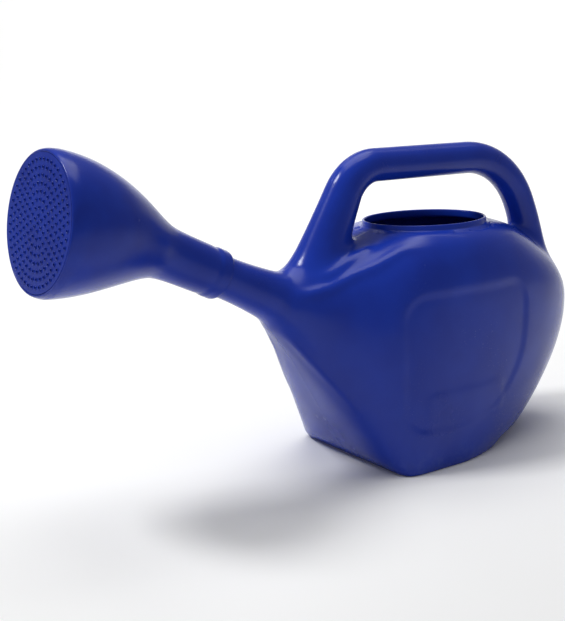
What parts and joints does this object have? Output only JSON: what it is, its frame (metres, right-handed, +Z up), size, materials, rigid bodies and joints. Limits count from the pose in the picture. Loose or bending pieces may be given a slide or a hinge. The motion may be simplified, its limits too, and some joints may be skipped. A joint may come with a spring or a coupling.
{
  "type": "watering can",
  "caption": "Hollow moulded watering can with an arched handle, a filling mouth, a rising spout and a trumpet rose that turns and pulls off",
  "frame": {"origin": "centre of the flat base, on the surface it stands on", "axes": "+Z up, the spout and rose toward -X, the can symmetric about Y = 0"},
  "size_m": [0.6654, 0.174, 0.3398],
  "materials": {
    "shell": "satin blow-moulded polyethylene",
    "rose": "satin moulded polyethylene",
    "seal": "matt"
  },
  "bodies": {
    "shell": {"tank": "shell", "handle": "shell", "spout": "shell"},
    "seal": {"rose_seal": "seal"},
    "rose": {"rose_sleeve": "rose", "rose_bell": "rose", "rose_plate": "rose"}
  },
  "joints": [
    {"name": "rose_pull", "type": "slide", "parent": "shell", "child": "seal", "axis": [-0.9063, 0, 0.4226], "range_m": [0, 0.05]},
    {"name": "rose_turn", "type": "hinge", "parent": "seal", "child": "rose", "pos_m": [-0.28332, 0, 0.21316], "axis": [-0.9063, 0, 0.4226], "continuous": true}
  ]
}
